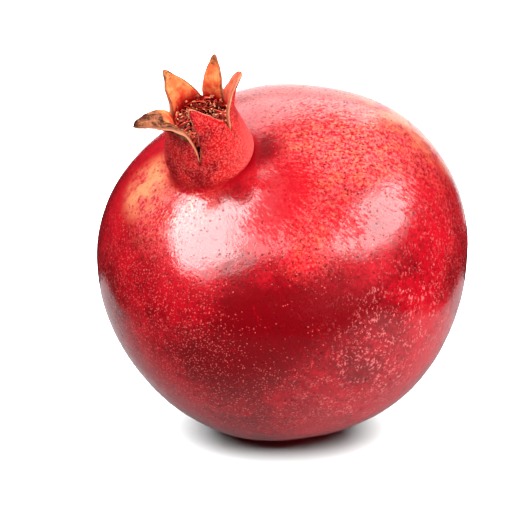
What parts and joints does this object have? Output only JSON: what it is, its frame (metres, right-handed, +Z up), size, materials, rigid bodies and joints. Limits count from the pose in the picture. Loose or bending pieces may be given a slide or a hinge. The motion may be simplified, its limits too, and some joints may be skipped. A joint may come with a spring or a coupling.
{
  "type": "pomegranate",
  "caption": "Whole ripe pomegranate lying on its side, with an open crown of pointed sepals round dried stamens, a short stalk stub and a small flat rest spot.",
  "frame": {"origin": "on the flattened rest spot, straight below the middle of the round body", "axes": "+Z up, +X to the fruit's right as it is seen from the front, -Y to the front, where the crown leans over to the left"},
  "size_m": [0.0962, 0.0957, 0.1054],
  "materials": {
    "rind": "waxy, smooth, speckled red rind",
    "dried_stamen": "dry, matt",
    "stalk_wood": "rough, grey-brown bark"
  },
  "bodies": {
    "root": {"fruit": "rind", "stalk_stub": "stalk_wood", "style": "dried_stamen", "stamen_01": "dried_stamen", "stamen_02": "dried_stamen", "stamen_03": "dried_stamen", "stamen_04": "dried_stamen", "stamen_05": "dried_stamen", "stamen_06": "dried_stamen", "stamen_07": "dried_stamen", "stamen_08": "dried_stamen", "stamen_09": "dried_stamen", "stamen_10": "dried_stamen", "stamen_11": "dried_stamen", "stamen_12": "dried_stamen", "stamen_13": "dried_stamen", "stamen_14": "dried_stamen", "stamen_15": "dried_stamen", "stamen_16": "dried_stamen", "stamen_17": "dried_stamen", "stamen_18": "dried_stamen", "stamen_19": "dried_stamen", "stamen_20": "dried_stamen", "stamen_21": "dried_stamen", "stamen_22": "dried_stamen", "stamen_23": "dried_stamen", "stamen_24": "dried_stamen", "stamen_25": "dried_stamen", "stamen_26": "dried_stamen", "stamen_27": "dried_stamen", "stamen_28": "dried_stamen", "stamen_29": "dried_stamen"}
  },
  "joints": []
}
